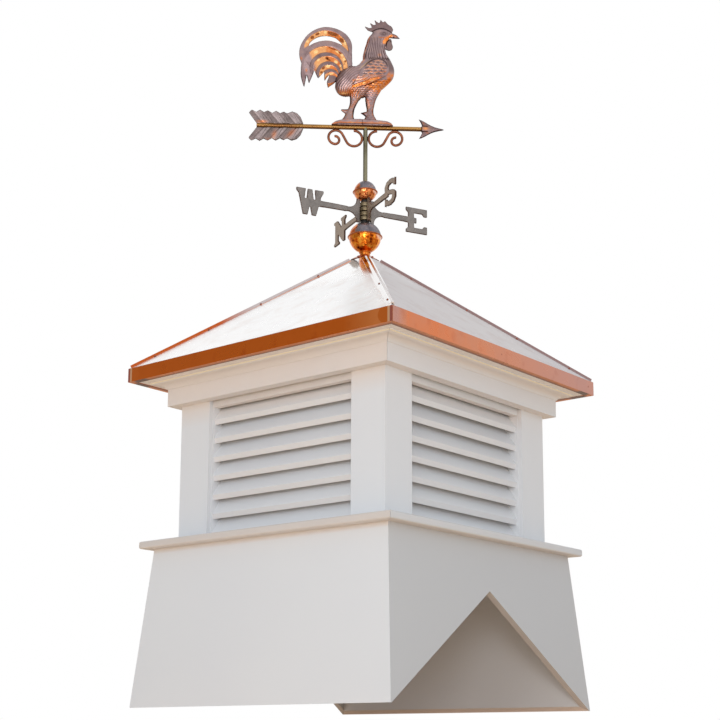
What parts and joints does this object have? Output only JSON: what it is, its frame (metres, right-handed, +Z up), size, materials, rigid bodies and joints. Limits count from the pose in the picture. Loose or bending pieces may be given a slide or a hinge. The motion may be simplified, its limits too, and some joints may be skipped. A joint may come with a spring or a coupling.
{
  "type": "barn cupola",
  "caption": "Louvred white cupola with a flared base cut over a ridge, a copper hip roof and a rooster weathervane that turns.",
  "frame": {"origin": "under the centre of the cupola, at the foot of its base walls", "axes": "+Z up along the weathervane's spindle; the front is -Y; the house ridge that it straddles runs along X"},
  "size_m": [0.914, 0.914, 1.9794],
  "materials": {
    "white_board": "satin",
    "plywood": "matte",
    "sheet_copper": "satin",
    "ball_copper": "polished",
    "cast_brass": "satin",
    "steel_rod": "satin",
    "brass_tube": "satin",
    "vane_copper": "satin"
  },
  "bodies": {
    "cupola": {"base_front": "white_board", "base_right": "white_board", "base_back": "white_board", "base_left": "white_board", "sill_boards": "white_board", "frieze_boards": "white_board", "crown_moulding": "white_board", "corner_post_front_right": "white_board", "corner_post_back_right": "white_board", "corner_post_back_left": "white_board", "corner_post_front_left": "white_board", "louvre_frame_front": "white_board", "louvre_frame_right": "white_board", "louvre_frame_back": "white_board", "louvre_frame_left": "white_board", "louvre_slats_front": "white_board", "louvre_slats_right": "white_board", "louvre_slats_back": "white_board", "louvre_slats_left": "white_board", "soffit_boards": "white_board", "eave_boards": "white_board", "roof_deck": "plywood", "peak_block": "plywood", "roof_panel_front": "sheet_copper", "roof_panel_right": "sheet_copper", "roof_panel_back": "sheet_copper", "roof_panel_left": "sheet_copper", "copper_fascia": "sheet_copper", "hip_caps": "sheet_copper", "peak_collar": "sheet_copper", "large_ball": "ball_copper", "small_ball": "ball_copper", "letter_north": "cast_brass", "letter_east": "cast_brass", "letter_south": "cast_brass", "letter_west": "cast_brass", "spindle": "steel_rod"},
    "vane": {"vane_tube": "brass_tube", "arrow_shaft": "brass_tube", "arrow_point": "vane_copper", "arrow_feathers": "vane_copper", "scroll_fore": "vane_copper", "scroll_aft": "vane_copper", "rooster_mound": "vane_copper", "rooster_body": "vane_copper", "rooster_tail": "vane_copper"}
  },
  "joints": [
    {"name": "vane_spin", "type": "hinge", "parent": "cupola", "child": "vane", "pos_m": [0, 0, 1.5], "axis": [0, 0, 1], "continuous": true}
  ]
}
